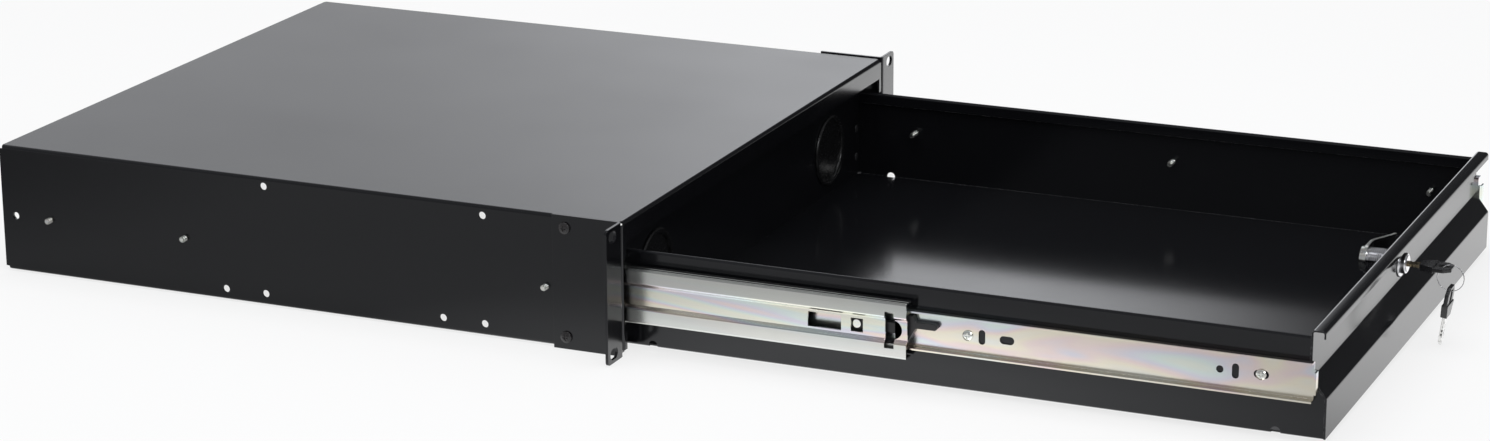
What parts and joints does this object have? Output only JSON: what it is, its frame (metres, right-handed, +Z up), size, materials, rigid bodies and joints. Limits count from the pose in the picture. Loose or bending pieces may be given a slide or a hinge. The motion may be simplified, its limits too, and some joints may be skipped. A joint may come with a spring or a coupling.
{
  "type": "rack drawer",
  "caption": "Two-unit rack drawer with a folded black case, ball slides, hemmed tray, recessed front panel, cam lock and keys, pulled out.",
  "frame": {"origin": "centre of the rack hole pattern, on the rear face of the ears, which seats on the rack", "axes": "+X across the rack, +Y into the rack, +Z up"},
  "size_m": [0.4826, 0.9394, 0.0882],
  "materials": {
    "case_paint": "black powder coat, satin to glossy, fine orange peel",
    "drawer_paint": "black powder coat, glossy, fine orange peel",
    "black_hardware": "black zinc",
    "bright_hardware": "bright zinc",
    "slide_zinc": "cold-rolled steel, bright passivated zinc with a faint rainbow tint",
    "cage_steel": "plain pressed steel",
    "ball_steel": "polished bearing steel",
    "rubber": "matt black rubber",
    "lever_plastic": "black moulded plastic",
    "lock_chrome": "polished nickel or chrome plating",
    "lock_zinc": "bright zinc",
    "key_brass": "worn plated brass",
    "key_nickel": "nickel plating",
    "bow_plastic": "black moulded plastic"
  },
  "bodies": {
    "case": {"case_shell": "case_paint", "left_ear": "case_paint", "right_ear": "case_paint", "ear_screws": "black_hardware", "ear_nuts": "bright_hardware", "lock_strike": "case_paint", "left_outer_member": "slide_zinc", "right_outer_member": "slide_zinc", "case_slide_screws": "bright_hardware", "left_bumper": "rubber", "right_bumper": "rubber"},
    "drawer": {"left_inner_member": "slide_zinc", "right_inner_member": "slide_zinc", "left_lever_rivet": "bright_hardware", "right_lever_rivet": "bright_hardware", "drawer_slide_screws": "bright_hardware", "drawer_tray": "drawer_paint", "back_wall": "drawer_paint", "back_rivets": "black_hardware", "left_grommet": "rubber", "right_grommet": "rubber", "front_panel": "drawer_paint", "lock_housing": "lock_chrome", "lock_nut": "lock_zinc"},
    "left_middle": {"left_middle_member": "slide_zinc"},
    "right_middle": {"right_middle_member": "slide_zinc"},
    "left_outer_race": {"left_outer_cage": "cage_steel", "left_outer_balls": "ball_steel"},
    "right_outer_race": {"right_outer_cage": "cage_steel", "right_outer_balls": "ball_steel"},
    "left_inner_race": {"left_inner_cage": "cage_steel", "left_inner_balls": "ball_steel"},
    "right_inner_race": {"right_inner_cage": "cage_steel", "right_inner_balls": "ball_steel"},
    "left_lever": {"left_release_lever": "lever_plastic"},
    "right_lever": {"right_release_lever": "lever_plastic"},
    "lock_core": {"lock_plug": "lock_chrome", "lock_cam": "lock_zinc", "cam_nut": "lock_zinc", "key_blade": "key_brass", "key_bow": "bow_plastic"},
    "ring": {"key_ring": "lock_chrome"},
    "spare_key": {"spare_key_blade": "key_nickel", "spare_key_bow": "bow_plastic"}
  },
  "joints": [
    {"name": "drawer_slide", "type": "slide", "parent": "case", "child": "drawer", "axis": [0, 1, 0], "range_m": [0, 0.446]},
    {"name": "left_middle_slide", "type": "slide", "parent": "case", "child": "left_middle", "axis": [0, 1, 0], "range_m": [0, 0.1921]},
    {"name": "left_outer_race_slide", "type": "slide", "parent": "case", "child": "left_outer_race", "axis": [0, 1, 0], "range_m": [0, 0.0961]},
    {"name": "left_inner_race_slide", "type": "slide", "parent": "case", "child": "left_inner_race", "axis": [0, 1, 0], "range_m": [0, 0.3191]},
    {"name": "left_lever_pivot", "type": "hinge", "parent": "drawer", "child": "left_lever", "pos_m": [-0.2075, -0.156, -0.005], "axis": [1, 0, 0], "range_deg": [0, 5], "stiffness_Nm_per_rad": 0.05, "springref_deg": -5.73},
    {"name": "right_middle_slide", "type": "slide", "parent": "case", "child": "right_middle", "axis": [0, 1, 0], "range_m": [0, 0.1921]},
    {"name": "right_outer_race_slide", "type": "slide", "parent": "case", "child": "right_outer_race", "axis": [0, 1, 0], "range_m": [0, 0.0961]},
    {"name": "right_inner_race_slide", "type": "slide", "parent": "case", "child": "right_inner_race", "axis": [0, 1, 0], "range_m": [0, 0.3191]},
    {"name": "right_lever_pivot", "type": "hinge", "parent": "drawer", "child": "right_lever", "pos_m": [0.2075, -0.156, -0.005], "axis": [-1, 0, 0], "range_deg": [0, 5], "stiffness_Nm_per_rad": 0.05, "springref_deg": -5.73},
    {"name": "lock_turn", "type": "hinge", "parent": "drawer", "child": "lock_core", "pos_m": [0, -0.4398, 0.0071], "axis": [0, -1, 0], "range_deg": [0, 90]},
    {"name": "ring_swing", "type": "hinge", "parent": "lock_core", "child": "ring", "pos_m": [0, -0.4722, 0.0071], "axis": [0, 1, 0], "range_deg": [-25, 25]},
    {"name": "spare_key_swing", "type": "hinge", "parent": "ring", "child": "spare_key", "pos_m": [0, -0.4722, -0.00775], "axis": [0, 1, 0], "range_deg": [-40, 40]}
  ],
  "couplings": [
    {"joint": "left_middle_slide", "follows": "drawer_slide", "ratio": 0.4305},
    {"joint": "left_outer_race_slide", "follows": "drawer_slide", "ratio": 0.21525},
    {"joint": "left_inner_race_slide", "follows": "drawer_slide", "ratio": 0.71525},
    {"joint": "right_middle_slide", "follows": "drawer_slide", "ratio": 0.4305},
    {"joint": "right_outer_race_slide", "follows": "drawer_slide", "ratio": 0.21525},
    {"joint": "right_inner_race_slide", "follows": "drawer_slide", "ratio": 0.71525}
  ]
}
